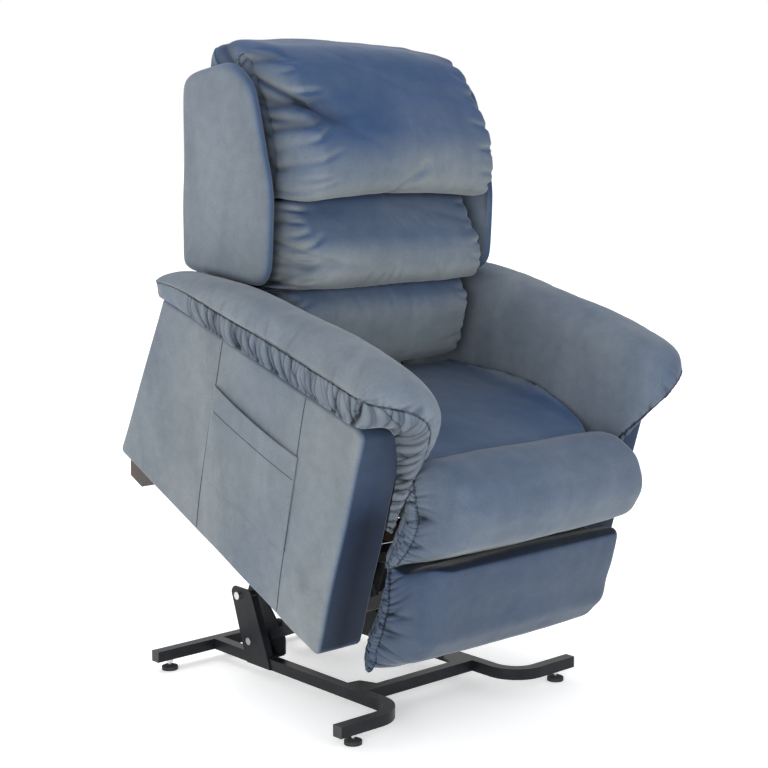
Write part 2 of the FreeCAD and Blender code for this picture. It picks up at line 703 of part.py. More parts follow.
def make_back():
    save("head_pillow", on_back(head_pillow()))
    save("middle_pillow", on_back(middle_pillow()))
    save("lumbar_pillow", on_back(lumbar_pillow()))
    save("left_wing", on_back(wing()))
    save("right_wing", on_back(flipped(wing())))
    save("back_frame", on_back(back_frame()))
    save("back_rear_cover", on_back(rear_cover()))
    save("back_hinge_arms", on_back(back_hinge_arm()))
    save("back_pivot_tube", on_chair(driven_tube(RECLINE, BACK_CRANK, 0, BACK_BAR_X[0] - 2.5)))


# ---------------------------------------------------------------- footrest
def footrest_pad():
    return side_prism([(-40, -36, 24), (-112, 36, 60), (-134, 96, 50), (-122, 170, 40), (-102, 228, 16),
                       (-30, 182, 30), (16, 176, 10), (16, -30, 12)], (-297, 297))


def footrest_board():
    return box((-255, 255), (17, 31), (-12, 188))


def footrest_brackets():
    """Angle brackets behind the footrest board with the pins of the links."""
    y, z = FOOT_PAD
    ear = side_prism([(31, z - 40), (y + 12, z - 14, 10), (y + 12, z + 14, 10), (31, z + 30)], PAD_BAR_X)
    ear = ear.fuse(box((240, PAD_BAR_X[1]), (31, 34), (z - 40, z + 30)))
    ear = ear.fuse(cross_rod(FOOT_PAD, PIN, (PAD_BAR_X[0], LINK_BAR_X[1] + 2)))
    return pair(ear)


def make_footrest():
    arm = link_bar(FOOT_ARM, FOOT_KNEE, ARM_BAR_X, PIN + RUN, 0)
    arm = arm.fuse(cross_rod(FOOT_KNEE, PIN, (LINK_BAR_X[0] - 2, ARM_BAR_X[1])))
    link = link_bar(FOOT_KNEE, FOOT_PAD, LINK_BAR_X, PIN + RUN, PIN + RUN)
    save("footrest_arms", on_chair(pair(arm)))
    save("footrest_links", on_chair(pair(link)))
    tube = driven_tube(FOOT_ARM, FOOT_CRANK, FOOT_MOTOR_X, ARM_BAR_X[0])
    save("footrest_torque_tube", on_chair(tube))
    save("footrest_board", on_chair(footrest_board()))
    save("footrest_brackets", on_chair(footrest_brackets()))
    save("footrest_pad", on_chair(footrest_pad()))


make_base()
make_links()
make_actuators()
make_chair()
make_back()
make_footrest()
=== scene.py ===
"""Looks of the lift recliner chair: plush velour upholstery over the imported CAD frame. Metres."""

import json
from math import cos, pi, radians, sin

import bmesh
import bpy
import numpy as np
from mathutils import Matrix, Vector


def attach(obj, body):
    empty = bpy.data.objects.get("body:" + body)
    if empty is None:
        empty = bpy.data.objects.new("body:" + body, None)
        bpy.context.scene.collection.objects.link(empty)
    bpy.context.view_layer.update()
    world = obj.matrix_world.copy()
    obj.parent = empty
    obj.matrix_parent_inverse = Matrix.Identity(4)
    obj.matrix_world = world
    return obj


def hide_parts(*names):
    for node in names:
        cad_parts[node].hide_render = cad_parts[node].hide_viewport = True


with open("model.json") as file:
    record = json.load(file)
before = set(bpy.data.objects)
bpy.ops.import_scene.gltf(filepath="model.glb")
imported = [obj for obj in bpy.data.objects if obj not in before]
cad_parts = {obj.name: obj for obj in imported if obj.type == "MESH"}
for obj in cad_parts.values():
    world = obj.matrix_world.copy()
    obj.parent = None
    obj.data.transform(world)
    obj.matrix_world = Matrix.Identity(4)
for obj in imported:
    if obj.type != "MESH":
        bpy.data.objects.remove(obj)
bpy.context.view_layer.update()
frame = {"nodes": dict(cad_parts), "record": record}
NODES = frame["nodes"]


# ---------------------------------------------------------------- drawing frames
class Tipped:
    """An upright drawing frame, tipped back about X by some degrees and moved into the row frame."""

    def __init__(self, tip, origin=(0.0, 0.0, 0.0)):
        c, s = cos(radians(tip)), sin(radians(tip))
        self.turn = np.array([[1, 0, 0], [0, c, -s], [0, s, c]])
        self.origin = np.asarray(origin, float)

    def out(self, points):
        return np.asarray(points, float) @ self.turn.T + self.origin

    def into(self, points):
        return (np.asarray(points, float) - self.origin) @ self.turn


def cad_points(node):
    co = np.empty(len(NODES[node].data.vertices) * 3, np.float32)
    NODES[node].data.vertices.foreach_get("co", co)
    return co.reshape(-1, 3).astype(float)


def extent(node, place):
    """Lowest and highest corner of a CAD node in a drawing frame."""
    local = place.into(cad_points(node))
    return local.min(0), local.max(0)


LIFT_TILT = 24.91            # tip of the raised chair, degrees
BACK_LEAN = 23.6             # backrest from the chair frame's vertical, degrees
COVER_DROP = 0.222           # rear cover, below the back frame's origin


def chair_frame():
    """Origin at the lower front corner of the side panels."""
    upright = Tipped(LIFT_TILT)
    low, _ = extent("right_side_panel", upright)
    return Tipped(LIFT_TILT, upright.out((0.0, low[1], low[2])))


def back_frame():
    """Origin at the lower rear edge of the wings; y is minus the depth of the pillows."""
    upright = Tipped(LIFT_TILT - BACK_LEAN)
    low, high = extent("back_rear_cover", upright)
    return Tipped(LIFT_TILT - BACK_LEAN, upright.out((0.0, high[1], low[2] + COVER_DROP)))


CHAIR = chair_frame()
BACK = back_frame()


# ---------------------------------------------------------------- curves and fields
def evenly(points, count, closed=False):
    """count points spaced evenly along a polyline."""
    p = np.asarray(points, float)
    if closed:
        p = np.vstack([p, p[:1]])
    run = np.r_[0, np.cumsum(np.linalg.norm(np.diff(p, axis=0), axis=1))]
    at = np.linspace(0, run[-1], count, endpoint=not closed)
    return np.stack([np.interp(at, run, p[:, k]) for k in range(p.shape[1])], -1)


def through(points, count):
    """count points, evenly spaced, along a smooth curve through the given ones."""
    p = np.asarray(points, float)
    q = np.vstack([2 * p[0] - p[1], p, 2 * p[-1] - p[-2]])
    t = np.linspace(0, 1, 24, endpoint=False)[:, None]
    fine = []
    for a, b, c, d in zip(q, q[1:], q[2:], q[3:]):
        fine.append(0.5 * (2 * b + (c - a) * t + (2 * a - 5 * b + 4 * c - d) * t ** 2
                           + (3 * b - a - 3 * c + d) * t ** 3))
    return evenly(np.vstack(fine + [p[-1:]]), count)


def lengths(points):
    """Distance along a polyline at each of its points."""
    return np.r_[0, np.cumsum(np.linalg.norm(np.diff(points, axis=0), axis=1))]


def ease(t):
    t = np.clip(t, 0, 1)
    return t * t * (3 - 2 * t)


def ripple(points, size, seed, waves=20):
    """A smooth uneven field of about -1 to 1 with features of the given size."""
    rng = np.random.default_rng(seed)
    ways = rng.normal(size=(waves, points.shape[-1]))
    ways *= 2 * pi / size * rng.uniform(0.6, 1.4, (waves, 1)) / np.linalg.norm(ways, axis=1, keepdims=True)
    phases = rng.uniform(0, 2 * pi, waves)
    return np.sin(points @ ways.T + phases).sum(-1) / (0.9 * waves ** 0.5)


def gathers(along, away, pitch, depth, reach, seed, lean=0.0, start=0.0):
    """Height of creases that start side by side at a seam (away = 0) and die out away from it."""
    rng = np.random.default_rng(seed)
    at = start
    height = np.zeros(np.broadcast(along, away).shape)
    while at < along.max():
        width = pitch * rng.uniform(0.22, 0.5)
        far = reach * rng.uniform(0.35, 1.4)
        deep = depth * rng.uniform(0.45, 1.2)
        slant = lean + rng.normal(0, 0.22)
        offset = (along - at - slant * away) / (width * (1 + 0.8 * away / far))
        height -= deep * np.exp(-np.abs(offset) ** 1.4) * np.exp(-(away / far) ** 1.7)
        at += pitch * rng.uniform(0.6, 1.4)
    return height


END_FACE_DEPTH = 1e-4        # vertices this close to a prism's outer end lie on its end face


def side_outline(node, place, count):
    """The closed (y, z) outline of a CAD prism's end face, evenly resampled, counted anticlockwise."""
    mesh = NODES[node].data
    local = place.into(cad_points(node))
    rim = local[:, 0].max() - END_FACE_DEPTH
    used = {}
    for face in mesh.polygons:
        if all(local[v, 0] > rim for v in face.vertices):
            for key in face.edge_keys:
                ends = tuple(sorted(tuple(np.round(local[v, 1:], 6)) for v in key))
                used[ends] = used.get(ends, 0) + 1
    links = {}
    for (a, b), times in used.items():
        if times == 1:
            links.setdefault(a, []).append(b)
            links.setdefault(b, []).append(a)
    first = min(links)
    loop, previous = [first], None
    while True:
        following = [p for p in links[loop[-1]] if p != previous]
        previous = loop[-1]
        if following[0] == first or len(loop) > len(links):
            break
        loop.append(following[0])
    loop = np.array(loop)
    y, z = loop[:, 0], loop[:, 1]
    if (y * np.roll(z, -1) - z * np.roll(y, -1)).sum() < 0:
        loop = loop[::-1]
    return evenly(loop, count, closed=True)


def loop_normals(loop):
    """Outward unit normals of an anticlockwise closed loop."""
    step = np.roll(loop, -1, 0) - np.roll(loop, 1, 0)
    normal = np.stack([step[:, 1], -step[:, 0]], -1)
    return normal / np.linalg.norm(normal, axis=1, keepdims=True)


def relax(loop, times):
    """Rounds a closed loop without shrinking it much."""
    for _ in range(times):
        loop = 0.5 * loop + 0.25 * (np.roll(loop, 1, 0) + np.roll(loop, -1, 0))
    return loop


# ---------------------------------------------------------------- meshes
def normals_of(rows, wrap):
    """Unit normals of a grid of points; wrap says that each row closes on itself."""
    down = np.gradient(rows, axis=0)
    if wrap:
        across = (np.roll(rows, -1, 1) - np.roll(rows, 1, 1)) / 2
    else:
        across = np.gradient(rows, axis=1)
    normal = np.cross(across, down)
    size = np.linalg.norm(normal, axis=-1, keepdims=True)
    return normal / np.maximum(size, 1e-12)


def grid_faces(rows, columns, wrap):
    faces = []
    last = columns if wrap else columns - 1
    for i in range(rows - 1):
        for j in range(last):
            k = (j + 1) % columns
            faces.append((i * columns + j, (i + 1) * columns + j, (i + 1) * columns + k, i * columns + k))
    return faces


def make_mesh(name, points, faces, smooth=True):
    mesh = bpy.data.meshes.new(name)
    mesh.from_pydata([tuple(p) for p in points], [], faces)
    bm = bmesh.new()
    bm.from_mesh(mesh)
    if any(edge.is_boundary for edge in bm.edges):
        bmesh.ops.recalc_face_normals(bm, faces=bm.faces)
    elif bm.calc_volume(signed=True) < 0:
        bmesh.ops.reverse_faces(bm, faces=bm.faces)
    bm.to_mesh(mesh)
    bm.free()
    mesh.polygons.foreach_set("use_smooth", [smooth] * len(mesh.polygons))
    piece = bpy.data.objects.new(name, mesh)
    bpy.context.scene.collection.objects.link(piece)
    return piece


def paint(piece, field, values):
    """Stores one number per vertex, which the velour's shader reads."""
    attribute = piece.data.attributes.new(field, "FLOAT", "POINT")
    attribute.data.foreach_set("value", values.astype(np.float32))


NAP_DRIFT = 0.07             # uneven brushing: how much, and the size of its patches in metres
NAP_PATCH = 0.3
NAP_SEED = 401
SHADED_NAP = 0.64            # palest tone on an arm's inner face, held down there as painted shade


def paint_tone_and_shade(piece, base, crease, side, up, inner=0.0):
    """Paints a tone by the way each face points: paler on sideways and downward faces, deeper on top.

    The tone is partly the pile's own lie and partly painted light and sheen; side and up set how much. base
    and crease are numbers or one value per vertex; crease is painted shade, in creases and under overhangs;
    inner is 1 where painted shade keeps the tone from going pale.
    """
    count = len(piece.data.vertices)
    normal = np.empty(count * 3, np.float32)
    piece.data.vertex_normals.foreach_get("vector", normal)
    normal = normal.reshape(-1, 3)
    points = np.array([v.co for v in piece.data.vertices])
    # painted light and sheen: faces that turn sideways or down are paler, faces that point up are deeper
    nap_and_light = base + side * np.abs(normal[:, 0]) ** 2 - up * normal[:, 2]
    nap_and_light = np.clip(nap_and_light + NAP_DRIFT * ripple(points, NAP_PATCH, NAP_SEED), 0, 1)
    paint(piece, "nap_and_light", nap_and_light * (1 - inner) + np.minimum(nap_and_light, SHADED_NAP) * inner)
    # painted shade, which the velour's shader multiplies into its colour
    paint(piece, "crease", np.clip(crease, 0, 1) * np.ones(count))


def sheet_mesh(name, rows, place, thickness):
    """An open patch of cloth; thickness is added behind it."""
    count, columns = rows.shape[:2]
    piece = make_mesh(name, place.out(rows).reshape(-1, 3), grid_faces(count, columns, False))
    shell = piece.modifiers.new("thickness", "SOLIDIFY")
    shell.thickness = thickness
    shell.offset = -1
    return piece


def tube_mesh(name, rows, place):
    """A closed body from rings of points; the first and last rings are closed by fans."""
    count, columns = rows.shape[:2]
    points = np.vstack([rows.reshape(-1, 3), rows[0].mean(0), rows[-1].mean(0)])
    faces = grid_faces(count, columns, True)
    first, last = count * columns, count * columns + 1
    for j in range(columns):
        k = (j + 1) % columns
        faces.append((first, j, k))
        faces.append((last, (count - 1) * columns + k, (count - 1) * columns + j))
    return make_mesh(name, place.out(points), faces)


# ---------------------------------------------------------------- materials
def shader(name, color, roughness, metallic=0.0):
    """A new material and its main shader, with the even values set on the shader's own sockets."""
    material = bpy.data.materials.new(name)
    material.use_nodes = True
    principled = material.node_tree.nodes["Principled BSDF"]
    principled.inputs["Base Color"].default_value = (*color, 1)
    principled.inputs["Roughness"].default_value = roughness
    principled.inputs["Metallic"].default_value = metallic
    return material, principled


def noise(material, scale, detail=3.0, stretch=(1, 1, 1), distortion=0.0):
    """A noise texture in the piece's own coordinates."""
    tree = material.node_tree
    where = tree.nodes.new("ShaderNodeTexCoord")
    mapping = tree.nodes.new("ShaderNodeMapping")
    mapping.inputs["Scale"].default_value = stretch
    texture = tree.nodes.new("ShaderNodeTexNoise")
    texture.inputs["Scale"].default_value = scale
    texture.inputs["Detail"].default_value = detail
    texture.inputs["Distortion"].default_value = distortion
    tree.links.new(where.outputs["Object"], mapping.inputs["Vector"])
    tree.links.new(mapping.outputs["Vector"], texture.inputs["Vector"])
    return texture.outputs["Fac"]


def ramp(material, fac, stops):
    """Colours that follow a factor: stops are (place, colour)."""
    node = material.node_tree.nodes.new("ShaderNodeValToRGB")
    elements = node.color_ramp.elements
    while len(elements) < len(stops):
        elements.new(0.5)
    for element, (place, color) in zip(elements, stops):
        element.position = place
        element.color = (*color, 1)
    material.node_tree.links.new(fac, node.inputs["Fac"])
    return node.outputs["Color"]


def mixed(material, kind, fac, a, b):
    """Mixes two colours; fac is a number or a socket."""
    tree = material.node_tree
    node = tree.nodes.new("ShaderNodeMix")
    node.data_type = "RGBA"
    node.blend_type = kind
    if isinstance(fac, float):
        node.inputs["Factor"].default_value = fac
    else:
        tree.links.new(fac, node.inputs["Factor"])
    tree.links.new(a, node.inputs["A"])
    tree.links.new(b, node.inputs["B"])
    return node.outputs["Result"]


def bump(material, principled, layers):
    """Stacks bumps: layers are (height socket, strength, distance in metres)."""
    tree = material.node_tree
    before = None
    for height, strength, distance in layers:
        node = tree.nodes.new("ShaderNodeBump")
        node.inputs["Strength"].default_value = strength
        node.inputs["Distance"].default_value = distance
        tree.links.new(height, node.inputs["Height"])
        if before is not None:
            tree.links.new(before, node.inputs["Normal"])
        before = node.outputs["Normal"]
    tree.links.new(before, principled.inputs["Normal"])


def stored(material, field):
    """A number that was painted on the piece."""
    node = material.node_tree.nodes.new("ShaderNodeAttribute")
    node.attribute_name = field
    return node.outputs["Fac"]


def two_toned(material, principled, scale, dark, light):
    """Patches of two close tones as the base colour."""
    tone = ramp(material, noise(material, scale), [(0.3, dark), (0.7, light)])
    material.node_tree.links.new(tone, principled.inputs["Base Color"])


def velour():
    """Plush pile: deep blue to pale grey by a painted tone, partly the pile's lie and partly painted light
    and sheen, and darkened by painted shade.
    """
    material, principled = shader("blue_velour", (0.06, 0.09, 0.15), 0.9)
    deep = ramp(material, noise(material, 6.0, 3.0, (1.0, 1.0, 0.5), 0.8),
                [(0.3, (0.028, 0.060, 0.134)), (0.7, (0.038, 0.072, 0.150))])
    # the pale grey is painted light and sheen laid over the deep blue
    pale = ramp(material, noise(material, 7.0, 4.0, (1.0, 1.0, 0.45), 0.8),
                [(0.3, (0.166, 0.188, 0.197)), (0.7, (0.228, 0.253, 0.262))])
    toned = mixed(material, "MIX", stored(material, "nap_and_light"), deep, pale)
    mottle = ramp(material, noise(material, 38.0, 4.0), [(0.3, (0.88, 0.88, 0.89)), (0.7, (1, 1, 1))])
    grain = ramp(material, noise(material, 430.0, 2.0), [(0.25, (0.78, 0.78, 0.79)), (0.75, (1, 1, 1))])
    toned = mixed(material, "MULTIPLY", 1.0, toned, mottle)
    toned = mixed(material, "MULTIPLY", 1.0, toned, grain)
    # painted shade, from the crease numbers
    dark = ramp(material, stored(material, "crease"),
                [(0.0, (1, 1, 1)), (0.85, (0.34, 0.36, 0.40)), (1.0, (0.14, 0.15, 0.16))])
    toned = mixed(material, "MULTIPLY", 1.0, toned, dark)
    material.node_tree.links.new(toned, principled.inputs["Base Color"])
    principled.inputs["Sheen Weight"].default_value = 0.16
    principled.inputs["Sheen Roughness"].default_value = 0.4
    principled.inputs["Sheen Tint"].default_value = (0.93, 0.95, 0.93, 1)
    principled.inputs["Specular IOR Level"].default_value = 0.1
    bump(material, principled, [(noise(material, 24.0, 3.0), 0.10, 0.004),
                                (noise(material, 520.0, 2.0), 0.35, 0.0006)])
    return material


def powder_coat():
    material, principled = shader("frame_paint", (0.02, 0.022, 0.027), 0.36)
    two_toned(material, principled, 30.0, (0.008, 0.009, 0.011), (0.013, 0.014, 0.017))
    principled.inputs["Specular IOR Level"].default_value = 0.16
    bump(material, principled, [(noise(material, 900.0, 2.0), 0.12, 0.0003)])
    return material


def satin_black():
    material, principled = shader("mechanism_steel", (0.02, 0.02, 0.022), 0.5, 0.3)
    two_toned(material, principled, 60.0, (0.012, 0.012, 0.013), (0.022, 0.022, 0.024))
    bump(material, principled, [(noise(material, 700.0, 2.0), 0.15, 0.0003)])
    return material


def zinc():
    material, principled = shader("zinc", (0.62, 0.63, 0.64), 0.32, 1.0)
    two_toned(material, principled, 80.0, (0.5, 0.51, 0.53), (0.7, 0.7, 0.7))
    bump(material, principled, [(noise(material, 500.0, 3.0, (1, 1, 6)), 0.12, 0.0002)])
    return material


def plastic():
    material, principled = shader("black_plastic", (0.022, 0.022, 0.024), 0.55)
    two_toned(material, principled, 50.0, (0.018, 0.018, 0.02), (0.028, 0.028, 0.03))
    bump(material, principled, [(noise(material, 1200.0, 2.0), 0.3, 0.0002)])
    return material


def rubber():
    material, principled = shader("glide_rubber", (0.014, 0.014, 0.014), 0.8)
    two_toned(material, principled, 90.0, (0.011, 0.011, 0.011), (0.022, 0.022, 0.022))
    bump(material, principled, [(noise(material, 800.0, 2.0), 0.3, 0.0003)])
    return material


def grained_wood(name, dark, light, roughness):
    material, principled = shader(name, dark, roughness)
    grain = ramp(material, noise(material, 14.0, 6.0, (6, 1, 1), 1.2), [(0.35, dark), (0.65, light)])
    material.node_tree.links.new(grain, principled.inputs["Base Color"])
    bump(material, principled, [(noise(material, 60.0, 4.0, (8, 1, 1)), 0.2, 0.0004)])
    return material


VELOUR = velour()
THREAD, _ = shader("seam_thread", (0.02, 0.03, 0.05), 0.8)

SLOT_LOOKS = {
    "frame_paint": powder_coat(),
    "zinc": zinc(),
    "mechanism_steel": satin_black(),
    "black_plastic": plastic(),
    "glide_rubber": rubber(),
    "frame_wood": grained_wood("frame_wood", (0.022, 0.017, 0.013), (0.045, 0.034, 0.024), 0.7),
    "leg_wood": grained_wood("leg_wood", (0.022, 0.012, 0.009), (0.05, 0.026, 0.018), 0.35),
    "blue_velour": VELOUR,
}
for part in frame["record"]["subparts"]:
    node = NODES[part["node"]]
    node.data.materials.clear()
    node.data.materials.append(SLOT_LOOKS[part["material_slot"]])


def finish_piece(piece, body, nodes):
    """Gives a new piece its fabric and its body, and hides the CAD solids it stands for."""
    piece.data.materials.append(VELOUR)
    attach(piece, body)
    if nodes:
        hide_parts(*nodes)
    return piece


def seam_line(name, on, points, away, body, radius=0.0009, drop=0.1, proud=0.4, sides=6):
    """A thin sewn line laid on a piece: points are dropped on it against the direction away.

    proud is the share of its radius by which the line's middle stands off the cloth.
    """
    dropped = []
    away = Vector(away)
    for p in points:
        start = Vector(p) + away * drop
        hit, spot, _, _ = on.ray_cast(start, -away)
        if hit:
            dropped.append(spot + away * radius * proud)
    rows = []
    for i, spot in enumerate(dropped):
        along = (dropped[min(i + 1, len(dropped) - 1)] - dropped[max(i - 1, 0)]).normalized()
        side = along.cross(away).normalized()
        ring = []
        for angle in np.linspace(0, 2 * pi, sides, endpoint=False):
            ring.append(spot + side * radius * cos(angle) + away * radius * sin(angle))
        rows.append(ring)
    line = tube_mesh(name, np.array([[list(p) for p in ring] for ring in rows]), Tipped(0))
    line.data.materials.append(THREAD)
    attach(line, body)
    return line


# ---------------------------------------------------------------- stuffed bars
OUTLINE_POINTS, OUTLINE_ROUNDING = 400, 10
HALF_RING = 190              # points on the front and on the rear of each ring of a bar
RING_STEP = 0.006            # distance between rings along the straight part
CORNER_RINGS = 44            # rings round the turn into the end ring
STRIP_RINGS = 9              # rings that close the border strip inside the end ring
STRIP_START = 1e-4           # keeps the strip's distances from the seam below zero
DENT_DEPTH, DENT_SIZE = 0.0014, 0.26
WRINKLE_DEPTH, WRINKLE_SIZE = 0.0003, 0.06


def split_outline(node, place):
    """A prism's outline as a front curve (top to bottom) and a rear curve (bottom to top)."""
    loop = relax(side_outline(node, place, OUTLINE_POINTS), OUTLINE_ROUNDING)
    top = int(np.argmax(loop[:, 0] + loop[:, 1]))
    bottom = (int(np.argmax(loop[:, 0] - loop[:, 1])) - top) % len(loop)
    loop = np.roll(loop, -top, 0)
    front = evenly(loop[:bottom + 1], HALF_RING)
    rear = evenly(np.vstack([loop[bottom:], loop[:1]]), HALF_RING)
    return np.vstack([front, rear])


def shrunken(outline, depth_share, height_share):
    """An end ring for a pillow: shallower and a little lower than its middle."""
    rear, middle = outline[:, 0].max(), outline[:, 1].mean()
    return np.column_stack([rear + (outline[:, 0] - rear) * depth_share,
                            middle + (outline[:, 1] - middle) * height_share])


def drawn_end(front, rear):
    """An end ring from a seam curve and the rear edge of its border strip, both top to bottom."""
    return np.vstack([through(front, HALF_RING), through(rear, HALF_RING)[::-1]])


def bar_rows(outline, end, half, corner, crown, ends):
    """Rings of a stuffed bar along X and, for each point, its distance from the end seam.

    The outline turns into the end ring over the last `corner` metres; inside the end ring a border
    strip closes the bar. Distances are negative on the strip.
    """
    normal = loop_normals(relax(outline, 6))
    count = len(outline)
    xs = list(np.linspace(0, half - corner, int((half - corner) / RING_STEP), endpoint=False))
    turns = [0.0] * len(xs)
    for angle in np.linspace(0, pi / 2, CORNER_RINGS):
        xs.append(half - corner + corner * sin(angle))
        turns.append(1 - cos(angle))
    rows = []
    for x, turn in zip(xs, turns):
        swell = crown * (1 - (x / half) ** 2)
        ring = (outline + normal * swell) * (1 - turn) + end * turn
        rows.append(np.column_stack([np.full(count, x), ring]))
    face = np.array(rows)
    away = np.linalg.norm(np.diff(face[::-1], axis=0), axis=2).cumsum(0)[::-1]
    away = np.vstack([away, np.zeros(count)])
    middle = (end + end[::-1]) / 2
    strip, beyond = [], []
    for t in np.linspace(0, 1, STRIP_RINGS + 1)[1:]:
        ring = end + (middle - end) * t
        strip.append(np.column_stack([np.full(count, half + ends * (1 - (1 - t) ** 2)), ring]))
        beyond.append(-np.linalg.norm(ring - end, axis=1) - STRIP_START)
    right = np.concatenate([face, strip])
    away = np.vstack([away, beyond])
    left = right[1:][::-1] * np.array([-1, 1, 1])
    return np.concatenate([left, right]), np.concatenate([away[1:][::-1], away])


def bar_mesh(name, rows, place):
    """Skins the rings; the first and last ring fold onto themselves. Also returns the vertices used."""
    count, columns = rows.shape[:2]
    ids = np.arange(count * columns).reshape(count, columns)
    for ring in (ids[0], ids[-1]):
        ring[columns // 2:] = ring[:columns // 2][::-1]
    faces = []
    for i in range(count - 1):
        for j in range(columns):
            k = (j + 1) % columns
            corners = [ids[i, j], ids[i, k], ids[i + 1, k], ids[i + 1, j]]
            corners = [v for n, v in enumerate(corners) if v != corners[n - 1]]
            if len(set(corners)) > 2:
                faces.append(corners)
    used, flat = np.unique(np.concatenate(faces), return_inverse=True)
    at, new_faces = 0, []
    for face in faces:
        new_faces.append([int(v) for v in flat[at:at + len(face)]])
        at += len(face)
    points = place.out(rows).reshape(-1, 3)[used]
    return make_mesh(name, points, new_faces), used


def settled(rows, high, droop, forward, top_rise):
    """A bar's rings with the ends of the lower edge hanging, the front pushed out and the top raised."""
    low_reach, front_reach = 0.12, 0.25
    top_start, top_reach = 0.09, 0.08
    lift_in_middle, hang_at_ends = 0.55, 1.3
    rows = rows.copy()
    low_part = ease((rows[..., 2].mean() - rows[..., 2]) / low_reach)
    toward_ends = (np.abs(rows[..., 0]) / high[0]) ** 2
    rows[..., 2] += droop * low_part * (lift_in_middle - hang_at_ends * toward_ends)
    rows[..., 1] -= forward * ease((rows[..., 1].max() - rows[..., 1]) / front_reach)
    rows[..., 2] += top_rise * ease((rows[..., 2] - high[2] + top_start) / top_reach)
    return rows


def end_folds(rows, away, puckers, seed):
    """Heights of the puckers on both sides of the two end seams, with the groove of the seam itself."""
    pitch, depth, reach = puckers
    strip_pitch, strip_reach = 0.7 * pitch, 0.06
    groove_depth, groove_width = 0.0028, 0.002
    along = lengths(rows[-1 - STRIP_RINGS])[None]
    distance = np.abs(away)
    folds = np.zeros_like(distance)
    for hand in (-1, 1):
        mine = np.sign(rows[..., 0]) == hand
        facing = gathers(along, distance, pitch, depth, reach, seed + 7 + hand)
        strip = gathers(along, distance, strip_pitch, depth, strip_reach, seed + 11 + hand)
        folds += np.where(mine & (away >= 0), facing, 0) + np.where(mine & (away < 0), strip, 0)
    return folds - groove_depth * np.exp(-(away / groove_width) ** 2)


def stuffed_bar(name, node, place, body, seed, end=None, corner=0.05, crown=0.008, ends=0.006,
                puckers=(0.016, 0.0035, 0.05), extra=None, nap_and_light=0.40, side=0.1, up=0.5, droop=0.0,
                top_rise=0.0, forward=0.0, top_shade=0.0, dim=0.0):
    """A cushion drawn from its CAD solid, with end seams, puckers along them and soft dents.

    puckers are (pitch, depth, reach). extra gives more creases on the front. nap, side and up are for
    brush() and set the tone, partly the pile's own and partly painted light; dim is painted shade over the
    whole cushion, and top_shade painted shade on its top, as under an overhang.
    """
    outline = split_outline(node, place)
    _, high = extent(node, place)
    end = shrunken(outline, 0.58, 0.96) if end is None else end
    rows, away = bar_rows(outline, end, high[0] - ends, corner, crown, ends)
    rows = settled(rows, high, droop, forward, top_rise)
    normal = normals_of(rows, True)
    if ((rows - rows.mean((0, 1))) * normal).sum() < 0:
        normal = -normal
    on_face = away >= 0
    swell = DENT_DEPTH * ripple(rows, DENT_SIZE, seed) + WRINKLE_DEPTH * ripple(rows, WRINKLE_SIZE, seed + 1)
    folds = end_folds(rows, away, puckers, seed)
    # painted shade in the puckers and the groove of the seam
    shade = np.clip((-folds / puckers[1] - 0.4) / 1.2, 0, 1)
    if extra is not None:
        folds += extra(rows)
    height = np.where(on_face, swell + folds, 0.6 * folds)
    height[[0, -1]] = 0
    rows = rows + normal * height[..., None]
    piece, used = bar_mesh(name, rows, place)
    # painted shade on the upward faces, as under an overhang
    shade = np.maximum(shade, top_shade * ease((normal[..., 2] - 0.45) / 0.45) * on_face)
    paint_tone_and_shade(piece, nap_and_light, (dim + shade).ravel()[used], side, up)
    return finish_piece(piece, body, [node])


def crease(points, start, end, width, depth):
    """A soft crease on a cushion's front between two (x, z) places; it fades towards its ends."""
    start, end = np.asarray(start, float), np.asarray(end, float)
    flat = points[..., [0, 2]]
    run = end - start
    t = np.clip(((flat - start) @ run) / (run @ run), 0, 1)
    gap = np.linalg.norm(flat - (start + t[..., None] * run), axis=-1)
    front = points[..., 1] < points[..., 1].mean()
    return -depth * front * np.exp(-(gap / width) ** 2) * np.sin(pi * np.clip(t, 0.03, 0.97)) ** 0.5


# ---------------------------------------------------------------- back pillows
PUCKER_WIDTH = 0.0055


def corner_puckers(p, half, low, high, count, length, depth, seed):
    """Short sharp puckers that run in from both ends of a pillow's front."""
    rng = np.random.default_rng(seed)
    total = np.zeros(p.shape[:-1])
    for hand in (-1, 1):
        for z in np.linspace(low, high, count):
            z = z + rng.uniform(-0.3, 0.3) * (high - low) / count
            run = length * rng.uniform(0.4, 1.2)
            rise = run * rng.uniform(-0.1, 0.7)
            deep = depth * rng.uniform(0.5, 1.2)
            total += crease(p, (hand * half, z), (hand * (half - run), z + rise), PUCKER_WIDTH, deep)
    return total


def head_creases(p):
    """The deep dimple in the middle of the lower edge, the folds rising from it and a long drape above."""
    dimple = crease(p, (-0.035, 0.165), (0.035, 0.235), 0.009, 0.012)
    fold = crease(p, (0.03, 0.215), (0.045, 0.25), 0.006, 0.005)
    rise = crease(p, (0.015, 0.22), (0.02, 0.34), 0.010, 0.003)
    short = crease(p, (0.085, 0.23), (0.09, 0.27), 0.006, 0.003)
    drape = crease(p, (-0.12, 0.47), (0.03, 0.40), 0.007, 0.0015)
    return dimple + fold + rise + short + drape + corner_puckers(p, 0.268, 0.18, 0.45, 9, 0.06, 0.0055, 5)


